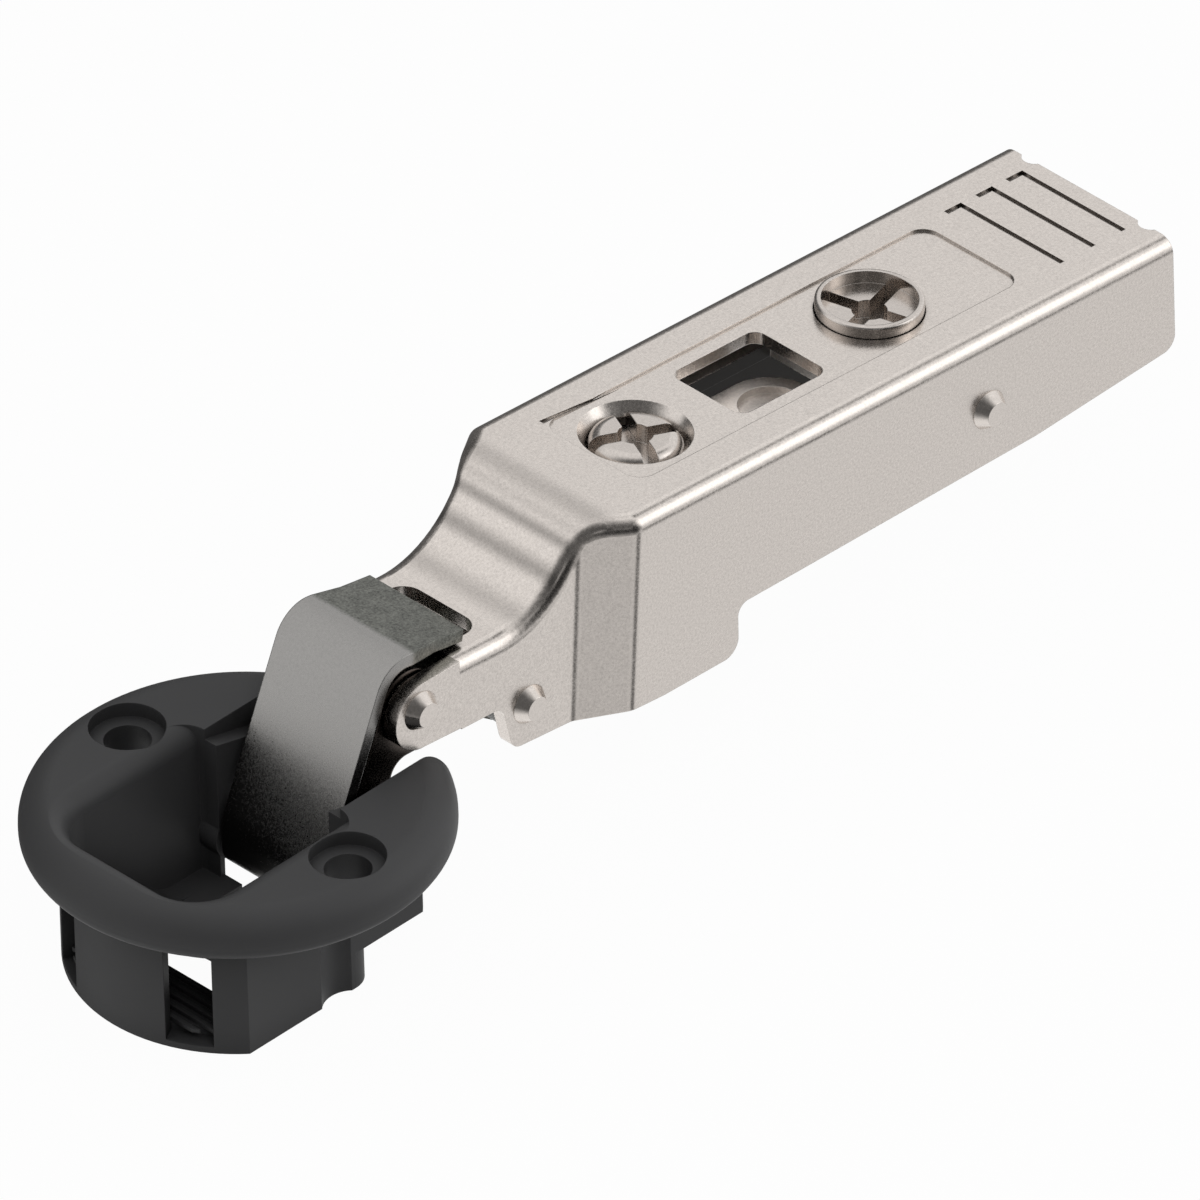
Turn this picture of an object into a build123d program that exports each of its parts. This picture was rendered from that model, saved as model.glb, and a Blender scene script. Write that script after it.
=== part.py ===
from build123d import *
import math
import os

# Concealed cup hinge for a glass door, shown fully open. Millimetres.
# The origin is on the cup's axis at the flange's underside, which rests on the door.
# +Z points out of the door and +X runs along the arm.

os.makedirs("parts", exist_ok=True)

# Cup
flange_radius = 15.75
flange_thickness = 3.6
flange_edge_radius = 2.3
flange_under_radius = 0.9
body_radius = 13.0
body_flat_y = 9.6
deep_depth = 10.15
shallow_depth = 7.1
deep_end_x = 3.95
deep_corner_radius = 2.0
cup_wall = 1.2
screw_y = 11.2
screw_hole_radius = 1.75
screw_seat_radius = 2.82
screw_seat_depth = 1.2
screw_channel_radius = 2.2
well_back_wall = 1.4
well_back_x = well_back_wall - body_radius
well_corner_radius = 3.5
well_half_width = 7.5
well_end_x = 3.5
well_mouth_radius = 1.6
ramp_top_z = 0.4
ramp_wall = 1.56
ramp_foot_wall = 0.36
ramp_foot_x = -0.6
ramp_foot_z = -9.0
throat_half_width = 6.9
throat_lip_radius = 2.0
throat_lip_x = 12.6
land_start_x = 1.4
land_start_z = 3.3
land_slope = 0.26
cheek_half_width = 5.7
shaft_end_x = 10.9
cross_wall_top_z = -1.6
floor_hole_half_width = 4.0
cheek_boss_wall = 1.1
window_mid_angle = 28.4
window_width = 3.6
window_top_z = -1.7
window_sill_z = -9.6
window_reach = 0.3
floor_edge_x = -6.6
rib_height = 0.35
rib_width = 0.35
rib_pitch = 0.95
rib_count = 5

# Pivots: A and C sit in the cup, B and D in the arm
pivot_a = (5.2, -5.9)
pivot_c = (8.6, -3.6)
pivot_b = (12.36, 7.2)
pivot_d = (23.15, 1.88)
cup_pin_radius = 0.95
cup_pin_bite = 2.7
arm_pin_radius = 1.2
running_gap = 0.05
open_pivot_gap = 0.75
pin_head_radius = 1.56
pin_head_height = 0.9
pin_head_flat_radius = 0.95

# Outer link: one bent plate with a rolled eye, a flap and two ears
outer_sheet = 1.0
outer_half_width = 5.15
plate_knee_z = -3.59
plate_knee_radius = 4.0
plate_bend = (10.51, 11.36)
plate_bend_radius = 2.5
flap_end = (18.25, 9.92)
flap_half_width = 4.75
flap_taper_start = 12.9
flap_taper_end = 15.4
curl_angle = 280.0
spacer_length = 1.3
outer_ear_sheet = 1.0
outer_ear_eye_radius = 2.4
outer_ear_root = (13.9, 17.3)
outer_ear_waist = [(16.9, 7.6), (17.4, 5.9)]
outer_ear_front = (14.1, 5.6)
outer_ear_rear_angle = 75.0
outer_ear_foot_angle = 229.0

# Inner link: a narrow channel
inner_sheet = 0.9
inner_side_gap = 0.2
inner_eye_c_radius = 1.9
inner_eye_b_radius = 2.65
inner_web_foot = (7.28, 1.75)
inner_web_head = (8.6, 4.6)
inner_floor_start = (11.4, 3.15)
inner_floor_end = (13.6, 3.0)
inner_front_line = [(10.49, 9.07), (10.1, 8.4), (8.75, 5.0), (7.25, 1.9), (7.85, -1.2), (7.2, -2.5)]
inner_front_radii = [0, 1.0, 3.0, 1.0, 0, 0]
inner_rear_line = [(10.5, 2.7), (14.1, 2.5)]
inner_rear_radii = [1.6, 1.2]
inner_swing = 81.0
eye_scoop_gap = 0.25

# Arm: one folded channel
arm_sheet = 1.2
arm_rear_half_width = 8.6
arm_neck_half_width = 6.25
arm_fold_radius = 1.2
neck_inner_half_width = arm_neck_half_width - arm_sheet
outer_ear_outer_y = neck_inner_half_width - spacer_length - running_gap
inner_half_width = neck_inner_half_width - inner_side_gap
arm_rear_x = 86.8
arm_top_z = 16.9
arm_top_drop = 0.0783
neck_front = (16.4, 9.3)
neck_foot = (24.3, 8.6)
neck_head_x = 29.52
neck_foot_radius = 7.7
neck_head_radius = 3.0
step_start = 28.85
step_end = 32.5
step_bend_radius = 1.4
ear_centre = (12.7, 6.6)
ear_radius = 2.8
ear_shoulder_drop = 1.8
neck_lower_z = 3.3
wall_line = [
    (72.4, 0.31),
    (48.2, 1.32),
    (42.0, 1.6),
    (41.95, -2.6),
    (34.4, -2.27),
    (31.1, -1.9),
    (27.7, -2.0),
    (21.4, -1.25),
    (20.5, 2.98),
]
wall_radii = [0, 0, 1.0, 1.4, 0, 0, 0, 1.2, 1.1]
wall_rear_z = 0.6
wall_rear_radius = 1.2
neck_slot_rear_x = 20.9
neck_slot_half_width = 3.9
neck_slot_corner_radius = 1.6

# Places along the arm's top, and depths below it
panel_start = 36.0
panel_end = 75.0
panel_half_width = 5.0
panel_depth = 0.2
panel_corner_radius = 1.5
side_screw_place = 40.6
side_hole_radius = 4.36
side_hole_foot_radius = 3.53
side_screw_radius = 3.43
side_screw_top = 0.35
side_screw_edge = 0.9
side_cross_angle = -24.0
window_start = 47.7
window_end = 56.5
window_half_width = 3.7
window_corner_radius = 1.0
cam_place = 64.4
cam_radius = 4.0
cam_gap = 0.08
cam_rim_height = 0.75
cam_rim_width = 0.45
cam_rim_edge = 0.2
cam_cross_angle = 16.5
cam_floor_depth = 0.25
groove_places = (78.8, 82.0, 85.1)
groove_half_width = 5.25
groove_width = 0.45
groove_depth = 0.35
groove_hook = 1.5
scribe_start = (36.3, 5.25)
scribe_end = (43.8, 4.75)
scribe_width = 0.45
scribe_depth = 0.3
rear_relief_radius = 0.95
rear_relief_depth = 0.5
rear_relief_y = 5.9
cross_width = 1.15
cross_centre_radius = 1.3
cross_depth = 1.5

# Carriage inside the arm, and what adjusts and latches it
carriage_depth = 3.3
carriage_sheet = 1.2
carriage_half_width = 6.5
carriage_start = 36.5
carriage_end = 83.0
carriage_wall_start = 43.0
carriage_foot_z = 1.9
carriage_front_radius = 2.0
carriage_rear_radius = 1.2
carriage_travel = 2.5
screw_neck_radius = 1.6
screw_foot_radius = 2.7
screw_foot_thickness = 0.9
slide_play = 0.1
cam_flange_radius = 5.2
cam_flange_thickness = 0.8
cam_washer_thickness = 0.35
cam_throw = 2.9
cam_swing = 60.0
cam_peg_radius = 1.5
cam_peg_play = 0.25
guide_pin = (67.73, 5.19)
guide_pin_play = 0.2
hook_bar = (46.5, 4.4)
hook_bar_radius = 1.5
lever_pivot = (79.0, 3.6)
lever_pin_radius = 1.1
lever_sheet = 1.1
lever_half_width = 4.7
lever_eye_radius = 1.9
lever_toe_z = 0.1
lever_toe_x = (73.9, 77.3)
lever_back = (74.2, 1.9)
lever_crown = (77.3, 4.6)
lever_heel = [(77.7, 1.0), (80.2, 2.2)]
thumb_start_x = 79.7
thumb_start_z = (1.9, 5.3)
thumb_end_x = 85.2
thumb_end_z = (2.7, 3.9)
lever_gap_x = (76.0, 81.6)
lever_gap_z = (1.4, 6.0)
leaf_sheet = 0.3
leaf_half_width = 2.0
leaf_seat_gap = 0.03
leaf_start_x = 74.0
leaf_bend_x = 80.6
leaf_bend_radius = 1.5
leaf_tip = (83.2, 4.62)
tongue_root = 47.0
tongue_end = 57.4
tongue_y = -0.9
tongue_half_width = 3.7
carriage_window_end = 59.5
carriage_window_half_width = 5.0
recess_radius = 2.5
recess_depth = 0.6

# Closing spring round the rear pin
spring_wire_radius = 0.45
spring_mean_radius = 2.15
spring_turns = 4
spring_pitch = 0.95
spring_leg = 4.5
sleeve_wall = 0.4
spacer_radius = 2.3

# How far a cutter runs past the face it starts from, and one that has no end
clear = 1.0
far = 200.0
top_angle = math.degrees(math.atan(arm_top_drop))
arm_top = Plane(
    origin=(0, 0, arm_top_z),
    x_dir=(1, 0, -arm_top_drop),
    z_dir=(arm_top_drop, 0, 1),
)


def top_z(x):
    """Height of the arm's rear top at a given X."""
    return arm_top_z - arm_top_drop * x


def inset(points, distance):
    """Open polyline moved sideways, to the right of its direction."""
    lines = []
    for start, end in zip(points, points[1:]):
        run = (Vector(end) - Vector(start)).normalized()
        side = Vector(run.Y, -run.X) * distance
        lines.append((Vector(start) + side, run))
    moved = [lines[0][0]]
    for (p, d), (q, e) in zip(lines, lines[1:]):
        gap = q - p
        t = (gap.X * e.Y - gap.Y * e.X) / (d.X * e.Y - d.Y * e.X)
        moved.append(p + d * t)
    last = Vector(points[-1]) - Vector(points[-2])
    moved.append(lines[-1][0] + last)
    return [(p.X, p.Y) for p in moved]


def lengthened(points, extra):
    """Open polyline with both ends run on."""
    first = Vector(points[0]) - (Vector(points[1]) - Vector(points[0])).normalized() * extra
    last = Vector(points[-1]) + (Vector(points[-1]) - Vector(points[-2])).normalized() * extra
    return [(first.X, first.Y), *points[1:-1], (last.X, last.Y)]


def mirrored(points):
    """A plan line followed by its mirror image, as one closed outline."""
    return [*points, *[(x, -y) for x, y in reversed(points)]]


def turned(point, centre, angle):
    """XZ point turned about a centre, counter-clockwise with X to the right."""
    swung = (Vector(point) - Vector(centre)).rotate(Axis.Z, angle) + Vector(centre)
    return (swung.X, swung.Y)


def place(x):
    """Distance along the arm's sloped top for a given X."""
    return x * math.hypot(1, arm_top_drop)


def around(centre, radius, angle):
    """XZ point on a circle round a centre."""
    turn = math.radians(angle)
    return (centre[0] + radius * math.cos(turn), centre[1] + radius * math.sin(turn))


def flap_z(x):
    """Height of the middle of the outer link's flap at a given X."""
    slope = (flap_end[1] - plate_bend[1]) / (flap_end[0] - plate_bend[0])
    return plate_bend[1] + slope * (x - plate_bend[0])


def across(point, y):
    """Plane square to Y through an XZ point, facing +Y."""
    return Plane(origin=(point[0], y, point[1]), x_dir=(1, 0, 0), z_dir=(0, 1, 0))


def headed_pin(point, half_grip, shank_radius):
    """Pin along Y with a conical riveted head on each side."""
    taper = math.degrees(math.atan((pin_head_radius - pin_head_flat_radius) / pin_head_height))
    with BuildPart() as pin:
        with BuildSketch(across(point, -half_grip)):
            Circle(shank_radius)
        extrude(amount=2 * half_grip)
        with BuildSketch(across(point, half_grip)):
            Circle(pin_head_radius)
        extrude(amount=pin_head_height, taper=taper)
        with BuildSketch(Plane(origin=(point[0], -half_grip, point[1]), z_dir=(0, -1, 0))):
            Circle(pin_head_radius)
        extrude(amount=pin_head_height, taper=taper)
    return pin.part


def ring(point, start_y, end_y, inner_radius, outer_radius):
    """Tube along Y between two places."""
    with BuildPart() as tube:
        with BuildSketch(across(point, start_y)):
            Circle(outer_radius)
            Circle(inner_radius, mode=Mode.SUBTRACT)
        extrude(amount=end_y - start_y)
    return tube.part


def plain_pin(point, half_length, radius):
    """Plain pin along Y."""
    with BuildPart() as pin:
        with BuildSketch(across(point, -half_length)):
            Circle(radius)
        extrude(amount=2 * half_length)
    return pin.part


def cross_cutter(spot, height, length, angle):
    """Cutter for a driver's cross, down from a height over the arm's top."""
    with BuildPart() as cutter:
        with BuildSketch(arm_top.offset(height)):
            with Locations((spot, 0)):
                Rectangle(length, cross_width, rotation=angle)
                Rectangle(length, cross_width, rotation=angle + 90)
                Circle(cross_centre_radius)
        extrude(amount=-cross_depth)
    return cutter.part


# Well: a ramped basin behind the throat, with a rounded mouth
with BuildPart() as well_cutter:
    with BuildSketch(Plane.XY.offset(-deep_depth)):
        with BuildLine():
            FilletPolyline(
                (well_end_x + well_half_width, -well_half_width),
                (well_back_x, -well_half_width),
                (well_back_x, well_half_width),
                (well_end_x + well_half_width, well_half_width),
                radius=[0, well_corner_radius, well_corner_radius, 0],
                close=True,
            )
        make_face()
    extrude(amount=deep_depth + flange_thickness)
    with BuildSketch(Plane.XY.offset(flange_thickness)):
        Rectangle(far, far)
    extrude(amount=flange_thickness)
    mouth = well_cutter.faces().filter_by(Axis.Z).group_by(Axis.Z)[1].edges()
    mouth_edges = [e for e in mouth if max(abs(v.X) for v in e.vertices()) < 2 * flange_radius]
    fillet(mouth_edges, radius=well_mouth_radius)
    # The mouth's rounding fades out where the well narrows to the throat
    mouth_half_width = well_half_width + well_mouth_radius
    with BuildSketch(Plane.XY.offset(-far / 2)):
        with Locations((well_end_x - far / 2, 0)):
            RectangleRounded(far, 2 * mouth_half_width, mouth_half_width - throat_half_width)
    extrude(amount=far, mode=Mode.INTERSECT)
    with BuildSketch(Plane.XZ):
        with BuildLine():
            FilletPolyline(
                (well_back_x - flange_radius, ramp_top_z),
                (well_back_x, ramp_top_z),
                (ramp_foot_x, ramp_foot_z),
                (well_end_x + flange_radius, ramp_foot_z),
                (well_end_x + flange_radius, -far),
                (well_back_x - flange_radius, -far),
                radius=[0, 0, well_corner_radius, 0, 0, 0],
                close=True,
            )
        make_face()
    extrude(amount=2 * flange_radius, both=True, mode=Mode.SUBTRACT)

# Moulding hollow under the ramp, open below past the partial floor
with BuildPart() as hollow_cutter:
    with BuildSketch(Plane.XY):
        Circle(body_radius - cup_wall)
        with Locations((-body_radius, 0)):
            Rectangle(2 * body_radius, 2 * (body_flat_y - cup_wall), mode=Mode.INTERSECT)
    extrude(amount=-2 * deep_depth)
    with BuildSketch(Plane.XZ):
        Polygon(
            (2 * well_back_x, ramp_top_z - ramp_wall),
            (well_back_x, ramp_top_z - ramp_wall),
            (ramp_foot_x - ramp_wall, ramp_foot_z - ramp_foot_wall),
            (ramp_foot_x - ramp_wall, -3 * deep_depth),
            (2 * well_back_x, -3 * deep_depth),
            align=None,
        )
    extrude(amount=2 * flange_radius, both=True, mode=Mode.INTERSECT)
    with BuildSketch(Plane.XZ):
        with Locations((floor_edge_x - flange_radius, cup_wall - deep_depth - flange_radius)):
            Rectangle(2 * flange_radius, 2 * flange_radius)
    extrude(amount=2 * flange_radius, both=True, mode=Mode.SUBTRACT)

with BuildPart() as cup:
    with BuildSketch(Plane.XY):
        Circle(flange_radius)
    extrude(amount=flange_thickness)
    fillet(cup.edges().group_by(Axis.Z)[-1], radius=flange_edge_radius)
    fillet(cup.edges().group_by(Axis.Z)[0], radius=flange_under_radius)
    with BuildSketch(Plane.XY.offset(flange_thickness / 2)):
        Circle(body_radius)
        Rectangle(2 * body_radius, 2 * body_flat_y, mode=Mode.INTERSECT)
    extrude(amount=-shallow_depth - flange_thickness / 2)
    with BuildSketch(Plane.XY):
        with Locations((deep_end_x - body_radius, 0)):
            RectangleRounded(2 * body_radius, 2 * body_flat_y, deep_corner_radius)
        Circle(body_radius, mode=Mode.INTERSECT)
    extrude(amount=-deep_depth)
    add(well_cutter.part, mode=Mode.SUBTRACT)
    add(hollow_cutter.part, mode=Mode.SUBTRACT)
    # Throat over the sloped lands, flared round the lobes' ends
    with BuildSketch(Plane.XY.offset(-shallow_depth)):
        with BuildLine():
            FilletPolyline(
                (well_end_x - well_corner_radius, -throat_half_width),
                (throat_lip_x, -throat_half_width),
                (throat_lip_x + throat_lip_radius, -throat_half_width - throat_lip_radius),
                (2 * flange_radius, -throat_half_width - throat_lip_radius),
                (2 * flange_radius, throat_half_width + throat_lip_radius),
                (throat_lip_x + throat_lip_radius, throat_half_width + throat_lip_radius),
                (throat_lip_x, throat_half_width),
                (well_end_x - well_corner_radius, throat_half_width),
                radius=[0, throat_lip_radius, 0, 0, 0, 0, throat_lip_radius, 0],
                close=True,
            )
        make_face()
    throat = extrude(amount=2 * shallow_depth + flange_thickness, mode=Mode.PRIVATE)
    with BuildSketch(Plane.XZ):
        Polygon(
            (land_start_x, 2 * flange_thickness),
            (land_start_x, land_start_z),
            (shaft_end_x, land_start_z - land_slope * (shaft_end_x - land_start_x)),
            (2 * flange_radius, land_start_z - land_slope * (shaft_end_x - land_start_x)),
            (2 * flange_radius, 2 * flange_thickness),
            align=None,
        )
    above_land = extrude(amount=2 * flange_radius, both=True, mode=Mode.PRIVATE)
    add(throat & above_land, mode=Mode.SUBTRACT)
    # Shaft between the cheeks, its opening through the floor, and the low cross wall
    with BuildSketch(Plane.XZ):
        Polygon(
            (ramp_foot_x, 2 * flange_thickness),
            (ramp_foot_x, ramp_foot_z),
            (shaft_end_x, ramp_foot_z),
            (shaft_end_x, cross_wall_top_z),
            (2 * flange_radius, cross_wall_top_z),
            (2 * flange_radius, 2 * flange_thickness),
            align=None,
        )
    extrude(amount=cheek_half_width, both=True, mode=Mode.SUBTRACT)
    with BuildSketch(Plane.XY.offset(-2 * deep_depth)):
        with Locations(((ramp_foot_x + shaft_end_x) / 2, 0)):
            Rectangle(shaft_end_x - ramp_foot_x, 2 * floor_hole_half_width)
    extrude(amount=2 * deep_depth, mode=Mode.SUBTRACT)
    # Bosses that close the cheeks round the outer link's pin
    with BuildSketch(across(pivot_a, cheek_half_width)):
        Circle(cup_pin_radius + cheek_boss_wall)
    extrude(amount=cup_pin_bite)
    with BuildSketch(across(pivot_a, -cheek_half_width - cup_pin_bite)):
        Circle(cup_pin_radius + cheek_boss_wall)
    extrude(amount=cup_pin_bite)
    for pivot in (pivot_a, pivot_c):
        with BuildSketch(across(pivot, -cheek_half_width - cup_pin_bite)):
            Circle(cup_pin_radius)
        extrude(amount=2 * (cheek_half_width + cup_pin_bite), mode=Mode.SUBTRACT)
    # Screw holes with seats, and the half-round channels below them
    for side in (-1, 1):
        with Locations(Plane.XY.offset(flange_thickness)):
            with Locations((0, side * screw_y)):
                CounterBoreHole(
                    screw_hole_radius, screw_seat_radius, screw_seat_depth, flange_thickness
                )
        with BuildSketch(Plane.XY):
            with Locations((0, side * screw_y)):
                Circle(screw_channel_radius)
        extrude(amount=-2 * deep_depth, mode=Mode.SUBTRACT)
    # Two windows through the outer wall
    for angle in (180 - window_mid_angle, 180 + window_mid_angle):
        window_plane = Plane.XY.rotated((0, 0, angle)).offset(window_sill_z)
        with BuildSketch(window_plane):
            with Locations((body_radius, 0)):
                Rectangle(2 * (cup_wall + window_reach), window_width)
        extrude(amount=window_top_z - window_sill_z, mode=Mode.SUBTRACT)
    # Fine ribs on the partial floor
    with BuildSketch(Plane.XY.offset(cup_wall - deep_depth)):
        for number in range(rib_count):
            with Locations((floor_edge_x - rib_width - number * rib_pitch, 0)):
                Rectangle(rib_width, 2 * (body_flat_y - 2 * cup_wall))
        Circle(body_radius - cup_wall / 2, mode=Mode.INTERSECT)
    extrude(amount=rib_height)

cup.part.label = "cup"
export_step(cup.part, "parts/cup.step")

cup_pin_outer = plain_pin(pivot_a, cheek_half_width + cup_pin_bite, cup_pin_radius)
cup_pin_outer.label = "cup_pin_outer"
export_step(cup_pin_outer, "parts/cup_pin_outer.step")

cup_pin_inner = plain_pin(pivot_c, cheek_half_width + cup_pin_bite, cup_pin_radius)
cup_pin_inner.label = "cup_pin_inner"
export_step(cup_pin_inner, "parts/cup_pin_inner.step")

# Outer link
eye_line_radius = cup_pin_radius + running_gap + outer_sheet / 2
plate_x = pivot_a[0] - eye_line_radius
with BuildPart() as outer_link:
    with BuildSketch(Plane.XZ):
        with BuildLine() as sheet_line:
            CenterArc(pivot_a, eye_line_radius, 180, curl_angle)
            FilletPolyline(
                (plate_x, pivot_a[1]),
                (plate_x, plate_knee_z),
                plate_bend,
                flap_end,
                radius=[plate_knee_radius, plate_bend_radius],
            )
        trace(line_width=outer_sheet)
    extrude(amount=outer_half_width, both=True)
    # The flap narrows towards its end
    with BuildSketch(Plane.XY):
        for side in (-1, 1):
            Polygon(
                (flap_taper_start, side * 2 * outer_half_width),
                (flap_taper_start, side * outer_half_width),
                (flap_taper_end, side * flap_half_width),
                (2 * flap_end[0], side * flap_half_width),
                (2 * flap_end[0], side * 2 * outer_half_width),
                align=None,
            )
    extrude(amount=2 * plate_bend[1], mode=Mode.SUBTRACT)
    # Two ears go down from the flap to the rear pin
    with BuildSketch(Plane.XZ.offset(outer_ear_outer_y - outer_ear_sheet)) as ear_sketch:
        Polygon(
            *[(x, flap_z(x)) for x in outer_ear_root],
            *outer_ear_waist,
            around(pivot_d, outer_ear_eye_radius, outer_ear_rear_angle),
            pivot_d,
            around(pivot_d, outer_ear_eye_radius, outer_ear_foot_angle),
            outer_ear_front,
            align=None,
        )
        with Locations(pivot_d):
            Circle(outer_ear_eye_radius)
        with Locations(pivot_d):
            Circle(arm_pin_radius + running_gap, mode=Mode.SUBTRACT)
    outer_ear = extrude(amount=outer_ear_sheet)
    mirror(outer_ear, about=Plane.XZ)

outer_link.part.label = "outer_link"
export_step(outer_link.part, "parts/outer_link.step")

# Inner link, scooped to clear the outer link's rolled eye when the door is shut
eye_scoop = turned(pivot_a, pivot_c, -inner_swing)
with BuildPart() as inner_link:
    with BuildSketch(Plane.XZ.offset(inner_half_width - inner_sheet)):
        with BuildLine():
            FilletPolyline(
                *inner_front_line,
                pivot_c,
                (pivot_c[0] + inner_eye_c_radius, pivot_c[1]),
                *inner_rear_line,
                (pivot_b[0] + inner_eye_b_radius, pivot_b[1]),
                pivot_b,
                radius=[*inner_front_radii, 0, 0, *inner_rear_radii, 0, 0],
                close=True,
            )
        make_face()
        with Locations(pivot_b):
            Circle(inner_eye_b_radius)
        with Locations(pivot_c):
            Circle(inner_eye_c_radius)
        with Locations(eye_scoop):
            Circle(eye_line_radius + outer_sheet / 2 + eye_scoop_gap, mode=Mode.SUBTRACT)
        with Locations(pivot_b):
            Circle(arm_pin_radius + open_pivot_gap, mode=Mode.SUBTRACT)
        with Locations(pivot_c):
            Circle(cup_pin_radius + running_gap, mode=Mode.SUBTRACT)
    inner_wall = extrude(amount=inner_sheet)
    mirror(inner_wall, about=Plane.XZ)
    with BuildSketch(Plane.XZ):
        Polygon(
            inner_floor_start,
            (inner_floor_start[0], inner_floor_start[1] + inner_sheet),
            (inner_floor_end[0], inner_floor_end[1] + inner_sheet),
            inner_floor_end,
            align=None,
        )
        Polygon(
            inner_web_foot,
            inner_web_head,
            (inner_web_head[0] + inner_sheet, inner_web_head[1]),
            (inner_web_foot[0] + inner_sheet, inner_web_foot[1]),
            align=None,
        )
    extrude(amount=inner_half_width, both=True)

inner_link.part.label = "inner_link"
export_step(inner_link.part, "parts/inner_link.step")

# Hinge arm: an outer block less the inside of the fold, then its ears, holes and grooves
neck_head = (neck_head_x, top_z(neck_head_x))
top_line = [neck_front, neck_foot, neck_head, (arm_rear_x, top_z(arm_rear_x))]
top_inner = lengthened(inset(top_line, arm_sheet), arm_neck_half_width)
plan_line = [
    (0, arm_neck_half_width),
    (step_start, arm_neck_half_width),
    (step_end, arm_rear_half_width),
    (2 * arm_rear_x, arm_rear_half_width),
]
plan_inner = lengthened(inset(plan_line, arm_sheet), arm_neck_half_width)
plan_radii = [0, step_bend_radius, step_bend_radius, 0]

with BuildPart() as arm_inside:
    with BuildSketch(Plane.XZ):
        with BuildLine():
            FilletPolyline(
                *top_inner,
                (2 * arm_rear_x, -arm_top_z),
                (top_inner[0][0], -arm_top_z),
                radius=[0, neck_foot_radius + arm_sheet, neck_head_radius - arm_sheet, 0, 0, 0],
                close=True,
            )
        make_face()
    extrude(amount=arm_rear_half_width, both=True)
    with BuildSketch(arm_top):
        with BuildLine():
            FilletPolyline(*mirrored(plan_inner), radius=plan_radii + plan_radii, close=True)
        make_face()
    extrude(amount=2 * arm_top_z, both=True, mode=Mode.INTERSECT)

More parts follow.
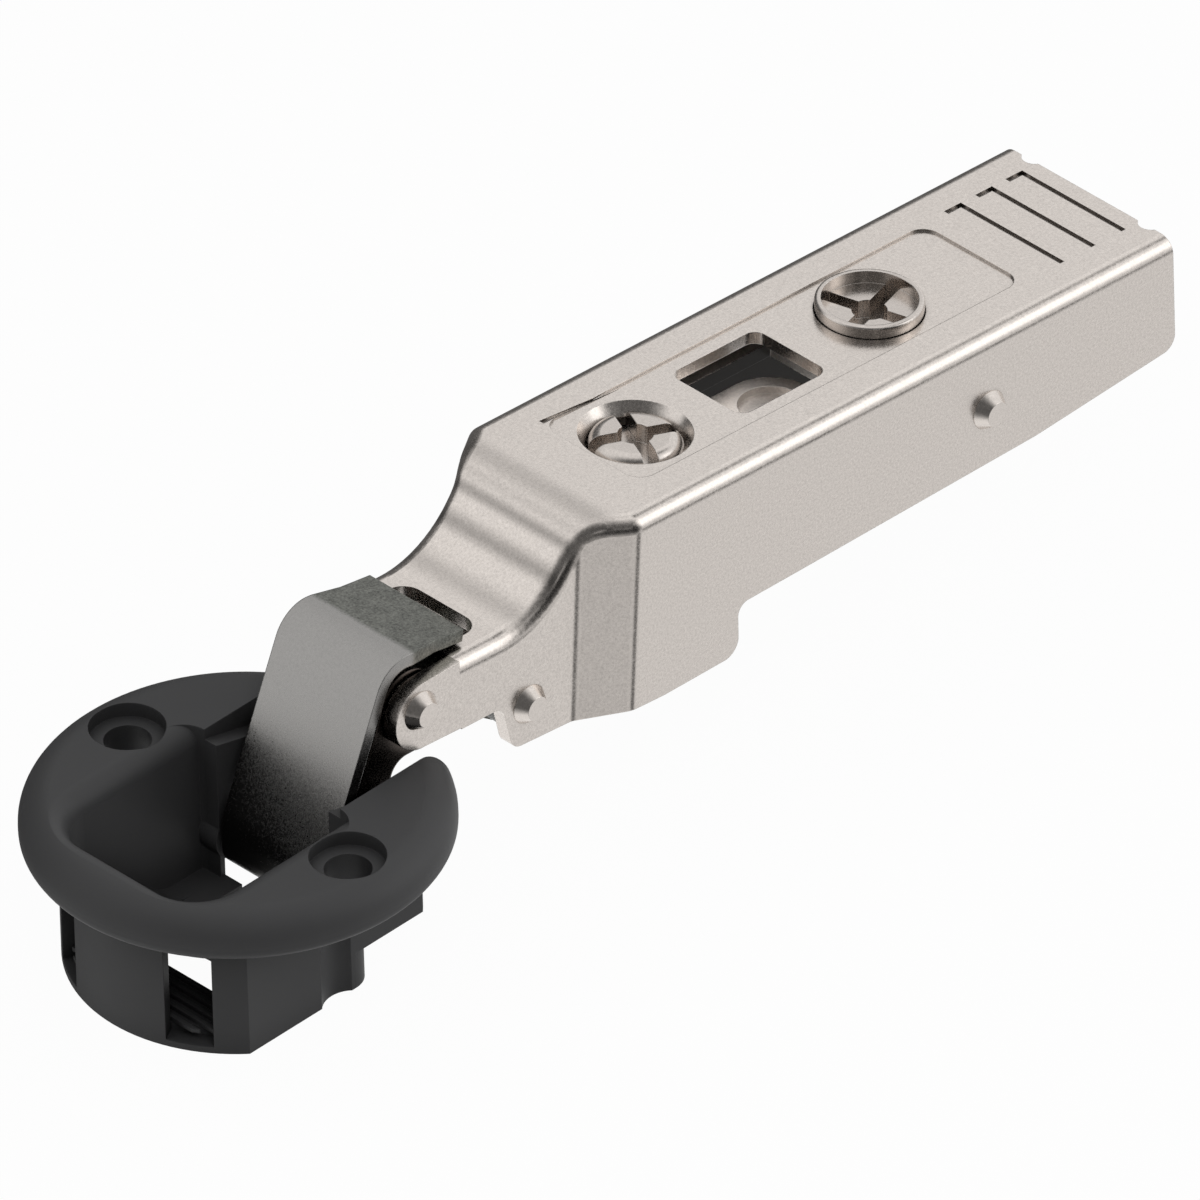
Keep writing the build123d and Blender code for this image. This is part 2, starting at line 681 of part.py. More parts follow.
with BuildPart() as hinge_arm:
    with BuildSketch(Plane.XZ):
        with BuildLine():
            FilletPolyline(
                *top_line,
                (arm_rear_x, wall_rear_z),
                *wall_line,
                (neck_front[0], neck_lower_z),
                radius=[0, neck_foot_radius, neck_head_radius, 0, wall_rear_radius, *wall_radii, 0],
                close=True,
            )
        make_face()
    extrude(amount=arm_rear_half_width, both=True)
    with BuildSketch(arm_top):
        with BuildLine():
            FilletPolyline(*mirrored(plan_line), radius=plan_radii + plan_radii, close=True)
        make_face()
    extrude(amount=2 * arm_top_z, both=True, mode=Mode.INTERSECT)
    fold_edges = [
        e
        for e in hinge_arm.edges()
        if abs(e.center().Y) > arm_neck_half_width - running_gap
        and e.bounding_box().min.Z > neck_foot[1] - arm_sheet
        and e.bounding_box().size.X > arm_sheet / 2
    ]
    fillet(fold_edges, radius=arm_fold_radius)
    add(arm_inside.part, mode=Mode.SUBTRACT)
    # Flat ears round the front pin, ahead of the fold
    with BuildSketch(Plane.XZ.offset(neck_inner_half_width)):
        Polygon(
            (ear_centre[0], ear_centre[1] + ear_radius),
            (neck_front[0], neck_front[1]),
            (neck_front[0], neck_front[1] - arm_fold_radius),
            (neck_front[0] + arm_sheet, neck_front[1] - ear_shoulder_drop),
            (neck_front[0] + arm_sheet, neck_lower_z),
            (ear_centre[0], ear_centre[1] - ear_radius),
            align=None,
        )
        with Locations(ear_centre):
            Circle(ear_radius)
    arm_ear = extrude(amount=arm_sheet)
    mirror(arm_ear, about=Plane.XZ)
    for point in (pivot_b, pivot_d, guide_pin):
        with BuildSketch(across(point, -2 * arm_rear_half_width)):
            Circle(arm_pin_radius)
        extrude(amount=4 * arm_rear_half_width, mode=Mode.SUBTRACT)
    # Notch in the neck's front that the outer link's ears pass through
    with BuildSketch(Plane.XY.offset(neck_front[1] - 3 * arm_sheet)):
        with Locations((neck_slot_rear_x - neck_slot_half_width * 2, 0)):
            RectangleRounded(
                4 * neck_slot_half_width, 2 * neck_slot_half_width, neck_slot_corner_radius
            )
    extrude(amount=6 * arm_sheet, mode=Mode.SUBTRACT)
    # Recessed panel, with the holes and the window in it
    with BuildSketch(arm_top.offset(clear)):
        with Locations((place((panel_start + panel_end) / 2), 0)):
            RectangleRounded(
                place(panel_end - panel_start), 2 * panel_half_width, panel_corner_radius
            )
    extrude(amount=-(clear + panel_depth), mode=Mode.SUBTRACT)
    with BuildSketch(arm_top):
        with Locations((place(side_screw_place), 0)):
            Circle(side_hole_radius)
    side_hole_taper = math.degrees(
        math.atan((side_hole_radius - side_hole_foot_radius) / arm_sheet)
    )
    extrude(amount=-arm_sheet, taper=side_hole_taper, mode=Mode.SUBTRACT)
    with BuildSketch(arm_top):
        with Locations((place(cam_place), 0)):
            Circle(cam_radius + cam_gap)
        with Locations((place((window_start + window_end) / 2), 0)):
            RectangleRounded(
                place(window_end - window_start), 2 * window_half_width, window_corner_radius
            )
    extrude(amount=-2 * arm_sheet, mode=Mode.SUBTRACT)
    # Grooves near the rear end, each with a hooked end
    with BuildSketch(arm_top.offset(clear)):
        for x in groove_places:
            with Locations((place(x), 0)):
                Rectangle(groove_width, 2 * groove_half_width)
            with Locations((place(x) - groove_hook / 2, groove_half_width - groove_width / 2)):
                Rectangle(groove_hook, groove_width)
    extrude(amount=-(clear + groove_depth), mode=Mode.SUBTRACT)
    # Scribed wedge beside the panel
    with BuildSketch(arm_top.offset(clear)):
        Polygon(
            (place(scribe_start[0]), scribe_start[1] - scribe_width / 2),
            (place(scribe_end[0]), scribe_end[1]),
            (place(scribe_start[0]), scribe_start[1] + scribe_width / 2),
            align=None,
        )
    extrude(amount=-(clear + scribe_depth), mode=Mode.SUBTRACT)
    # Shallow round reliefs beside the rear edge
    with BuildSketch(arm_top.offset(clear)):
        for side in (-1, 1):
            relief_x = place(arm_rear_x) + rear_relief_radius - rear_relief_depth
            with Locations((relief_x, side * rear_relief_y)):
                Circle(rear_relief_radius)
    extrude(amount=-(2 * clear + arm_sheet), mode=Mode.SUBTRACT)

hinge_arm.part.label = "hinge_arm"
export_step(hinge_arm.part, "parts/hinge_arm.step")

arm_pin_front = headed_pin(pivot_b, arm_neck_half_width, arm_pin_radius)
arm_pin_front.label = "arm_pin_front"
export_step(arm_pin_front, "parts/arm_pin_front.step")

arm_pin_rear = headed_pin(pivot_d, arm_neck_half_width, arm_pin_radius)
arm_pin_rear.label = "arm_pin_rear"
export_step(arm_pin_rear, "parts/arm_pin_rear.step")

guide_pin_part = headed_pin(guide_pin, arm_rear_half_width, arm_pin_radius)
guide_pin_part.label = "guide_pin"
export_step(guide_pin_part, "parts/guide_pin.step")

# What sits round the rear pin
ear_inner_y = outer_ear_outer_y - outer_ear_sheet
sleeve_half_length = ear_inner_y - 2 * running_gap
spring_sleeve = ring(
    pivot_d, -sleeve_half_length, sleeve_half_length, arm_pin_radius, arm_pin_radius + sleeve_wall
)
spring_sleeve.label = "spring_sleeve"
export_step(spring_sleeve, "parts/spring_sleeve.step")

spacer_start = neck_inner_half_width - spacer_length
with BuildPart() as pin_spacers:
    add(ring(pivot_d, spacer_start, neck_inner_half_width, arm_pin_radius, spacer_radius))
    add(ring(pivot_d, -neck_inner_half_width, -spacer_start, arm_pin_radius, spacer_radius))

pin_spacers.part.label = "pin_spacers"
export_step(pin_spacers.part, "parts/pin_spacers.step")

# Closing spring: a coil on the sleeve with a leg at each end
coil_length = spring_turns * spring_pitch
with BuildPart() as closing_spring:
    with BuildLine() as wire_line:
        coil = Helix(
            pitch=spring_pitch,
            height=coil_length,
            radius=spring_mean_radius,
            center=(pivot_d[0], -coil_length / 2, pivot_d[1]),
            direction=(0, 1, 0),
        )
        front_leg = Line(coil @ 0 - (coil % 0) * spring_leg, coil @ 0)
        rear_leg = Line(coil @ 1, coil @ 1 + (coil % 1) * spring_leg)
    with BuildSketch(Plane(origin=front_leg @ 0, z_dir=front_leg % 0)):
        Circle(spring_wire_radius)
    sweep()

closing_spring.part.label = "closing_spring"
export_step(closing_spring.part, "parts/closing_spring.step")

# Side adjusting screw
neck_top = carriage_depth - slide_play
neck_foot_depth = carriage_depth + carriage_sheet + slide_play
with BuildPart() as side_screw:
    with BuildSketch(arm_top.offset(-side_screw_top)):
        with Locations((place(side_screw_place), 0)):
            Circle(side_screw_radius)
    extrude(amount=-(neck_top - side_screw_top))
    head_rim = side_screw.edges().filter_by(GeomType.CIRCLE).sort_by(Axis.Z)[-1]
    fillet(head_rim, radius=side_screw_edge)
    with BuildSketch(arm_top.offset(-neck_top)):
        with Locations((place(side_screw_place), 0)):
            Circle(screw_neck_radius)
    extrude(amount=-(neck_foot_depth - neck_top))
    with BuildSketch(arm_top.offset(-neck_foot_depth)):
        with Locations((place(side_screw_place), 0)):
            Circle(screw_foot_radius)
    extrude(amount=-screw_foot_thickness)
    add(
        cross_cutter(
            place(side_screw_place), -side_screw_top, 2 * side_screw_radius, side_cross_angle
        ),
        mode=Mode.SUBTRACT,
    )

side_screw.part.label = "side_screw"
export_step(side_screw.part, "parts/side_screw.step")

# Depth cam: a rimmed head in the arm's hole, a flange and an offset peg below
cam_flange_top = arm_sheet + cam_washer_thickness + running_gap
cam_flange_foot = cam_flange_top + cam_flange_thickness
with BuildPart() as depth_cam:
    with BuildSketch(arm_top.offset(cam_rim_height)):
        with Locations((place(cam_place), 0)):
            Circle(cam_radius)
    extrude(amount=-(cam_rim_height + cam_flange_top))
    cam_rim = depth_cam.edges().filter_by(GeomType.CIRCLE).sort_by(Axis.Z)[-1]
    fillet(cam_rim, radius=cam_rim_edge)
    with BuildSketch(arm_top.offset(cam_rim_height)):
        with Locations((place(cam_place), 0)):
            Circle(cam_radius - cam_rim_width)
    extrude(amount=-(cam_rim_height + cam_floor_depth), mode=Mode.SUBTRACT)
    with BuildSketch(arm_top.offset(-cam_flange_top)):
        with Locations((place(cam_place), 0)):
            Circle(cam_flange_radius)
    extrude(amount=-cam_flange_thickness)
    with BuildSketch(arm_top.offset(-cam_flange_foot)):
        with Locations((place(cam_place), cam_throw)):
            Circle(cam_peg_radius)
    extrude(amount=-(neck_foot_depth + screw_foot_thickness / 2 - cam_flange_foot))
    add(
        cross_cutter(
            place(cam_place),
            -cam_floor_depth,
            2 * (cam_radius - cam_rim_width),
            cam_cross_angle,
        ),
        mode=Mode.SUBTRACT,
    )

depth_cam.part.label = "depth_cam"
export_step(depth_cam.part, "parts/depth_cam.step")

with BuildPart() as cam_washer:
    with BuildSketch(arm_top.offset(-arm_sheet)):
        with Locations((place(cam_place), 0)):
            Circle(cam_flange_radius)
            Circle(cam_radius + cam_gap, mode=Mode.SUBTRACT)
    extrude(amount=-cam_washer_thickness)

cam_washer.part.label = "cam_washer"
export_step(cam_washer.part, "parts/cam_washer.step")

# Carriage: a channel that slides along inside the arm
with BuildPart() as carriage:
    with BuildSketch(arm_top.offset(-carriage_depth)):
        with Locations((place((carriage_start + carriage_end) / 2), 0)):
            Rectangle(place(carriage_end - carriage_start), 2 * carriage_half_width)
    extrude(amount=-carriage_sheet)
    with BuildSketch(Plane.XZ.offset(carriage_half_width - carriage_sheet)):
        with BuildLine():
            sheet_middle = carriage_depth + carriage_sheet / 2
            FilletPolyline(
                (carriage_wall_start, top_z(carriage_wall_start) - sheet_middle),
                (carriage_wall_start, carriage_foot_z),
                (carriage_end, carriage_foot_z),
                (carriage_end, top_z(carriage_end) - sheet_middle),
                radius=[0, carriage_front_radius, carriage_rear_radius, 0],
                close=True,
            )
        make_face()
        with Locations(guide_pin):
            SlotCenterToCenter(
                2 * carriage_travel,
                2 * (arm_pin_radius + guide_pin_play),
                rotation=-top_angle,
                mode=Mode.SUBTRACT,
            )
        with Locations(hook_bar):
            Circle(hook_bar_radius, mode=Mode.SUBTRACT)
        with Locations(lever_pivot):
            Circle(lever_pin_radius, mode=Mode.SUBTRACT)
    carriage_side = extrude(amount=carriage_sheet)
    mirror(carriage_side, about=Plane.XZ)
    # Open-ended slot round the side screw's neck, and the slot across for the cam's peg
    slot_end = side_screw_place + carriage_travel
    peg_low_y = cam_throw * math.cos(math.radians(cam_swing))
    with BuildSketch(arm_top):
        with Locations((place((carriage_start + slot_end) / 2) - screw_neck_radius, 0)):
            SlotOverall(
                place(slot_end - carriage_start) + 4 * screw_neck_radius + 2 * slide_play,
                2 * (screw_neck_radius + slide_play),
            )
        with Locations((place(cam_place), (cam_throw + peg_low_y) / 2)):
            Rectangle(
                2 * (cam_peg_radius + cam_peg_play),
                cam_throw - peg_low_y + 2 * (cam_peg_radius + cam_peg_play),
            )
    extrude(amount=-(carriage_depth + 2 * carriage_sheet), mode=Mode.SUBTRACT)
    # Round-ended tongue under the arm's window, beside an opening, with a round recess in it
    tongue_centre = place(tongue_end - tongue_half_width)
    with BuildSketch(arm_top):
        with BuildLine():
            Polyline(
                (place(tongue_root), tongue_y - tongue_half_width),
                (place(tongue_root), carriage_window_half_width),
                (place(carriage_window_end), carriage_window_half_width),
                (place(carriage_window_end), tongue_y - tongue_half_width),
                close=True,
            )
        make_face()
        with Locations((tongue_centre, tongue_y)):
            Circle(tongue_half_width, mode=Mode.SUBTRACT)
        with Locations((tongue_centre - far / 2, tongue_y)):
            Rectangle(far, 2 * tongue_half_width, mode=Mode.SUBTRACT)
    extrude(amount=-(carriage_depth + 2 * carriage_sheet), mode=Mode.SUBTRACT)
    with BuildSketch(arm_top):
        with Locations((tongue_centre, tongue_y)):
            Circle(recess_radius)
    extrude(amount=-(carriage_depth + recess_depth), mode=Mode.SUBTRACT)

carriage.part.label = "carriage"
export_step(carriage.part, "parts/carriage.step")

hook_bar_part = plain_pin(hook_bar, carriage_half_width, hook_bar_radius)
hook_bar_part.label = "hook_bar"
export_step(hook_bar_part, "parts/hook_bar.step")

lever_pin = plain_pin(lever_pivot, carriage_half_width, lever_pin_radius)
lever_pin.label = "lever_pin"
export_step(lever_pin, "parts/lever_pin.step")

# Clip lever: two cheeks joined by a toe and a thumb piece
with BuildPart() as clip_lever:
    with BuildSketch(Plane.XZ):
        with Locations(lever_pivot):
            Circle(lever_eye_radius)
        Polygon(
            lever_crown,
            lever_back,
            (lever_toe_x[0], lever_toe_z),
            (lever_toe_x[1], lever_toe_z),
            *lever_heel,
            align=None,
        )
        Polygon(
            (thumb_start_x, thumb_start_z[1]),
            (thumb_end_x, thumb_end_z[1]),
            (thumb_end_x, thumb_end_z[0]),
            (thumb_start_x, thumb_start_z[0]),
            align=None,
        )
        with Locations(lever_pivot):
            Circle(lever_pin_radius + running_gap, mode=Mode.SUBTRACT)
    extrude(amount=lever_half_width, both=True)
    with BuildSketch(Plane.XZ):
        Polygon(
            (lever_gap_x[0], lever_gap_z[1]),
            (lever_gap_x[0], lever_gap_z[0]),
            (lever_gap_x[1], lever_gap_z[0]),
            (lever_gap_x[1], lever_gap_z[1]),
            align=None,
        )
    extrude(amount=lever_half_width - lever_sheet, both=True, mode=Mode.SUBTRACT)

clip_lever.part.label = "clip_lever"
export_step(clip_lever.part, "parts/clip_lever.step")

# Leaf spring under the carriage's top, pressing on the lever's thumb piece
leaf_drop = carriage_depth + carriage_sheet + leaf_sheet / 2 + leaf_seat_gap
with BuildPart() as lever_spring:
    with BuildSketch(Plane.XZ):
        with BuildLine():
            FilletPolyline(
                (leaf_start_x, top_z(leaf_start_x) - leaf_drop),
                (leaf_bend_x, top_z(leaf_bend_x) - leaf_drop),
                leaf_tip,
                radius=leaf_bend_radius,
            )
        trace(line_width=leaf_sheet)
    extrude(amount=leaf_half_width, both=True)

lever_spring.part.label = "lever_spring"
export_step(lever_spring.part, "parts/lever_spring.step")
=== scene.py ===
import bpy
import math
from mathutils import Matrix, Vector


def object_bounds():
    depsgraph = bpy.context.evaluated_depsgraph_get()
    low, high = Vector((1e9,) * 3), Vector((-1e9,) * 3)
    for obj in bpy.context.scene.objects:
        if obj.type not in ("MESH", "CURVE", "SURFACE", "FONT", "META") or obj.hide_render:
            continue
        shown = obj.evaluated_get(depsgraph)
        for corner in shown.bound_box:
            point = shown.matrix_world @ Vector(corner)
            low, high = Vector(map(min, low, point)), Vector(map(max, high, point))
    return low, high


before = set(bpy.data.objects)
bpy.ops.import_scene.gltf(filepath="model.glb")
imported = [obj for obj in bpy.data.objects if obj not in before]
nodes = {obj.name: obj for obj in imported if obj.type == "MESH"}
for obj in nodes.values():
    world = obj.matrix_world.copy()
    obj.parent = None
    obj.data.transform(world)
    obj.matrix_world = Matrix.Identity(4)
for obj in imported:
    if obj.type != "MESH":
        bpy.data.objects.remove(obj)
cad_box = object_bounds()
MM = 0.001

# View of the photograph: straight on to an isometric corner, the arm tipped up a little
ARM_TIP = math.radians(2.0)
PHOTO_PX = 1200
PX_PER_MM = 14.0
ORIGIN_PX = (238.6, 831.0)
LENS_MM = 1500.0
SENSOR_MM = 36.0

# Finishes, as linear colours
NICKEL = (0.74, 0.685, 0.64)
LINK_STEEL = (0.35, 0.341, 0.330)
SCREW_STEEL = (0.66, 0.61, 0.57)
CARRIAGE_STEEL = (0.92, 0.86, 0.81)
FLAP_STEEL = (0.168, 0.171, 0.155)
# Inner link: a dark colour that is painted shade and painted dark reflection over plated metal
SHADED_LINK_STEEL = (0.105, 0.088, 0.078)
SPRING_STEEL = (0.30, 0.29, 0.28)
CUP_PLASTIC = (0.042, 0.042, 0.043)
SLEEVE_PLASTIC = (0.55, 0.55, 0.53)

# Floor and studio: the floor's grey, its share of white to the camera, and the world's level
FLOOR_TONE = (0.55, 0.55, 0.55)
FLOOR_WHITE = 0.965
STUDIO_LEVEL = 0.95
# Places in the studio that are dimmer, or brighter where the share is negative: direction, angle of
# the middle and angle of the end in degrees, and the share of the light that they take away
STUDIO_PLACES = (
    ((-0.50, -0.62, 0.35), 25.0, 75.0, 0.88),
    ((-0.42, -0.82, 0.38), 3.0, 9.0, -5.0),
    ((0.0, -0.98, 0.10), 16.0, 36.0, 0.85),
    ((0.05, -0.78, 0.62), 4.0, 10.0, -1.4),
    ((0.58, -0.58, -0.58), 25.0, 60.0, 0.16),
    ((0.58, 0.02, 0.82), 5.0, 14.0, 0.78),
    ((0.58, -0.70, 0.42), 9.0, 26.0, -0.85),
    ((0.15, 0.98, 0.0), 36.0, 49.0, 0.88),
    ((0.18, -0.80, -0.58), 5.0, 14.0, 0.85),
    ((0.58, -0.74, -0.34), 3.0, 10.0, 0.85),
)

FLOOR_SIZE = 4.0
FLOOR_GAP = 0.02 * MM
LAMP_AIM = (0.035, 0.0, 0.005)

# Sizes of the metal's grain and of the slow changes over it, and the depth of the grain
GRAIN = 0.20 * MM
CLOUD = 3.5 * MM
GRAIN_DEPTH = 0.02 * MM

# Outer link: where its flap begins along X, and the levels between which its plate darkens
FLAP_START = (12.6 * MM, 13.3 * MM)
DARK_LEVELS = (-3.2 * MM, -1.2 * MM)

# Painted reflection: soft dark bands across the crank: place along the arm and half width in mm,
# and darkness
PAINTED_REFLECTION_BANDS = (
    (23.2, 0.90, 0.28),
    (26.4, 0.50, 0.46),
    (28.1, 0.32, 0.46),
    (28.9, 0.35, 0.16),
    (30.4, 1.00, 0.28),
)


class Link:
    """A shader socket that can be written into an expression."""

    def __init__(self, tree, socket):
        self.tree = tree
        self.socket = socket

    def maths(self, operation, *values):
        return add_node(self.tree, "ShaderNodeMath", {"operation": operation}, values)

    def __add__(self, other):
        return self.maths("ADD", self, other)

    def __radd__(self, other):
        return self.maths("ADD", other, self)

    def __sub__(self, other):
        return self.maths("SUBTRACT", self, other)

    def __rsub__(self, other):
        return self.maths("SUBTRACT", other, self)

    def __mul__(self, other):
        return self.maths("MULTIPLY", self, other)

    def __rmul__(self, other):
        return self.maths("MULTIPLY", other, self)

    def __truediv__(self, other):
        return self.maths("DIVIDE", self, other)

    def __rtruediv__(self, other):
        return self.maths("DIVIDE", other, self)

    def __pow__(self, other):
        return self.maths("POWER", self, other)


def add_node(tree, kind, settings=None, values=(), output=0):
    """Adds one node, sets it, and gives one of its outputs as a Link."""
    node = tree.nodes.new(kind)
    for name, value in (settings or {}).items():
        setattr(node, name, value)
    pairs = values.items() if isinstance(values, dict) else enumerate(values)
    for name, value in pairs:
        if isinstance(value, Link):
            tree.links.new(value.socket, node.inputs[name])
        elif value is not None:
            node.inputs[name].default_value = value
    return Link(tree, node.outputs[output])


def new_surface(name):
    """An empty node material and its Principled shader."""
    material = bpy.data.materials.new(name)
    material.use_nodes = True
    tree = material.node_tree
    return material, tree, tree.nodes["Principled BSDF"]


def feed(tree, shader, name, link):
    """Links a value that changes over the surface to the shader."""
    tree.links.new(link.socket, shader.inputs[name])


def coordinate(tree, kind, axis):
    """One axis of the piece's own position (Object) or surface direction (Normal)."""
    where = add_node(tree, "ShaderNodeTexCoord", output=kind)
    return add_node(tree, "ShaderNodeSeparateXYZ", values=(where,), output=axis)


def noise(tree, size, detail, roughness):
    """Noise on the piece, with blotches of about the given size in metres."""
    where = add_node(tree, "ShaderNodeTexCoord", output="Object")
    return add_node(
        tree,
        "ShaderNodeTexNoise",
        values={"Vector": where, "Scale": 1 / size, "Detail": detail, "Roughness": roughness},
    )


def ramp_up(tree, value, start, end):
    """Smooth step from 0 to 1 between two values."""
    return add_node(
        tree,
        "ShaderNodeMapRange",
        {"interpolation_type": "SMOOTHSTEP"},
        {"Value": value, "From Min": start, "From Max": end},
    )


def shade(tree, colour, amount):
    """A colour, or a link to one, made darker or lighter by a factor."""
    grey = add_node(tree, "ShaderNodeCombineColor", values=(amount, amount, amount))
    return add_node(
        tree,
        "ShaderNodeMix",
        {"data_type": "RGBA", "blend_type": "MULTIPLY"},
        {"Factor": 1.0, 6: colour if isinstance(colour, Link) else (*colour, 1), 7: grey},
        output=2,
    )


def soft_edges(tree, radius):
    """Normal with every sharp edge eased by a small radius."""
    return add_node(tree, "ShaderNodeBevel", {"samples": 6}, {"Radius": radius})


def painted_hollow_shade(tree, reach, floor, start, end):
    """Painted shade: factor that is 1 in the open and falls to a floor value deep in holes and
    corners, where shade falls.
    """
    open_share = add_node(
        tree, "ShaderNodeAmbientOcclusion", {"samples": 4}, {"Distance": reach}, output="AO"
    )
    return floor + (1 - floor) * ramp_up(tree, open_share, start, end)


def blend(tree, factor, colour_a, colour_b):
    """Colour between two, by a factor that changes over the surface."""
    return add_node(
        tree,
        "ShaderNodeMix",
        {"data_type": "RGBA"},
        {"Factor": factor, 6: (*colour_a, 1), 7: (*colour_b, 1)},
        output=2,
    )


def grain_bump(tree, fine, strength, edge):
    """Normal with a fine grain, and edges eased."""
    return add_node(
        tree,
        "ShaderNodeBump",
        values={
            "Strength": strength,
            "Distance": GRAIN_DEPTH,
            "Height": fine,
            "Normal": soft_edges(tree, edge),
        },
    )


def metal_surface(surface, colour, tone, fine, grain, roughness, edge):
    """Metal shader fed with a tone factor, uneven gloss and eased edges."""
    material, tree, shader = surface
    wide = noise(tree, CLOUD, 2.0, 0.5)
    tone = tone * (1.0 + (wide - 0.5) * 0.06)
    feed(tree, shader, "Base Color", shade(tree, colour, tone))
    feed(tree, shader, "Roughness", roughness + (fine - 0.5) * 0.30 + (wide - 0.5) * 0.08)
    feed(tree, shader, "Normal", grain_bump(tree, fine, grain, edge))
    shader.inputs["Metallic"].default_value = 1.0
    return material


def metal(name, colour, speckle, grain, roughness, edge, hollow_shade):
    """Plated or bare metal: fine speckle in its tone and painted shade in its hollows.

    The hollow shade's values are its reach, its darkest tone, and the open shares between which it
    fades.
    """
    surface = new_surface(name)
    tree = surface[1]
    fine = noise(tree, GRAIN, 4.0, 0.75)
    # Speckle in the tone, times painted shade in hollows
    tone = (1.0 + (fine - 0.5) * speckle) * painted_hollow_shade(tree, *hollow_shade)
    return metal_surface(surface, colour, tone, fine, grain, roughness, edge)


def inner_wall_shade(tree, start, end):
    """Painted shade mask: factor that is 1 on walls far from the middle plane that face towards it,
    where inner walls are darkened.
    """
    side = coordinate(tree, "Object", "Y") * coordinate(tree, "Normal", "Y")
    return ramp_up(tree, -1 * side, start * MM, end * MM)


def reflection_band_tone(tree):
    """Tone factor of the painted dark reflection bands across the top of the crank."""
    along = coordinate(tree, "Object", "X")
    facing = ramp_up(tree, coordinate(tree, "Normal", "Z"), 0.35, 0.6)
    tone = 1.0
    for place, half_width, darkness in PAINTED_REFLECTION_BANDS:
        away = add_node(tree, "ShaderNodeMath", {"operation": "ABSOLUTE"}, (along - place * MM,))
        band = 1 - ramp_up(tree, away, 0.0, 1.7 * half_width * MM)
        tone = (1 - facing * band * darkness) * tone
    return tone


def arm_metal(name):
    """Nickel plate of the folded arm, with painted shade in its hollows and on its inner walls, and
    painted dark reflection bands across its crank.
    """
    surface = new_surface(name)
    tree = surface[1]
    fine = noise(tree, GRAIN, 4.0, 0.75)
    # Painted shade in hollows and creases and on the inner walls, and painted reflection bands
    # across the crank
    tone = (1.0 + (fine - 0.5) * 1.1) * painted_hollow_shade(tree, 3.0 * MM, 0.06, 0.08, 0.42)
    tone = tone * painted_hollow_shade(tree, 0.6 * MM, 0.45, 0.35, 0.85)
    tone = tone * (1 - inner_wall_shade(tree, 5.6, 6.2) * 0.94) * reflection_band_tone(tree)
    return metal_surface(surface, NICKEL, tone, fine, 0.10, 0.24, 0.08 * MM)


def carriage_metal(name):
    """Plate of the carriage: pale web, painted shade on its inner walls."""
    surface = new_surface(name)
    tree = surface[1]
    fine = noise(tree, GRAIN, 4.0, 0.75)
    # Painted shade: the inner walls darkened almost to black
    tone = (1.0 + (fine - 0.5) * 0.7) * (1 - inner_wall_shade(tree, 2.5, 3.5) * 0.97)
    return metal_surface(surface, CARRIAGE_STEEL, tone, fine, 0.10, 0.42, 0.08 * MM)


def link_metal(name):
    """Outer link: smooth pale plate, darker mottled flap, plate darker towards the bottom through a
    coarse speckle, and painted shade in hollows.
    """
    material, tree, shader = new_surface(name)
    along = coordinate(tree, "Object", "X")
    across = coordinate(tree, "Object", "Y")
    height = coordinate(tree, "Object", "Z")
    fine = noise(tree, GRAIN, 4.0, 0.75)
    low_speckle = noise(tree, 0.22 * MM, 2.0, 0.7)
    mottle = noise(tree, 1.2 * MM, 3.0, 0.65)
    flap = ramp_up(tree, along + (mottle - 0.5) * 0.5 * MM, *FLAP_START)
    level = height - across * 0.60 + (low_speckle - 0.5) * 18.0 * MM
    low = 1 - ramp_up(tree, level, *DARK_LEVELS)
    colour = blend(tree, flap, LINK_STEEL, FLAP_STEEL)
    tone = 1.0 + (fine - 0.5) * (0.6 + flap * 2.6) + (mottle - 0.5) * flap * 0.9
    # Darker towards the bottom, and painted shade in hollows and corners
    tone = tone * (1 - low * 0.80) * painted_hollow_shade(tree, 2.5 * MM, 0.30, 0.05, 0.5)
    feed(tree, shader, "Base Color", shade(tree, colour, tone))
    feed(tree, shader, "Roughness", 0.26 + (fine - 0.5) * 0.25 + low * 0.12 + flap * 0.08)
    feed(tree, shader, "Normal", grain_bump(tree, fine, 0.14, 0.12 * MM))
    shader.inputs["Metallic"].default_value = 1.0
    return material


def plastic(name, colour, roughness, edge, reach):
    """Moulded plastic: a fine matte grain, a hardly uneven tone and painted shade in its hollows.
    """
    material, tree, shader = new_surface(name)
    fine = noise(tree, 0.12 * MM, 2.0, 0.6)
    wide = noise(tree, 5.0 * MM, 2.0, 0.5)
    tone = (1.0 + (wide - 0.5) * 0.10) * painted_hollow_shade(tree, reach, 0.25, 0.0, 0.85)
    feed(tree, shader, "Base Color", shade(tree, colour, tone))
    feed(tree, shader, "Roughness", roughness + (wide - 0.5) * 0.08)
    feed(tree, shader, "Normal", grain_bump(tree, fine, 0.12, edge))
    shader.inputs["Specular IOR Level"].default_value = 0.25
    return material


def dress(material, *names):
    """Puts a material on CAD nodes."""
    for name in names:
        slots = nodes[name].data.materials
        if not slots:
            slots.append(material)
        for index in range(len(slots)):
            slots[index] = material


arm_nickel = arm_metal("arm_nickel")
pin_nickel = metal(
    "pin_nickel",
    NICKEL,
    speckle=0.6,
    grain=0.08,
    roughness=0.20,
    edge=0.08 * MM,
    hollow_shade=(1.0 * MM, 0.30, 0.20, 0.60),
)
screw_nickel = metal(
    "screw_nickel",
    SCREW_STEEL,
    speckle=0.8,
    grain=0.10,
    roughness=0.24,
    edge=0.10 * MM,
    hollow_shade=(1.2 * MM, 0.22, 0.12, 0.40),
)
carriage_steel = carriage_metal("carriage_steel")
link_steel = link_metal("link_steel")
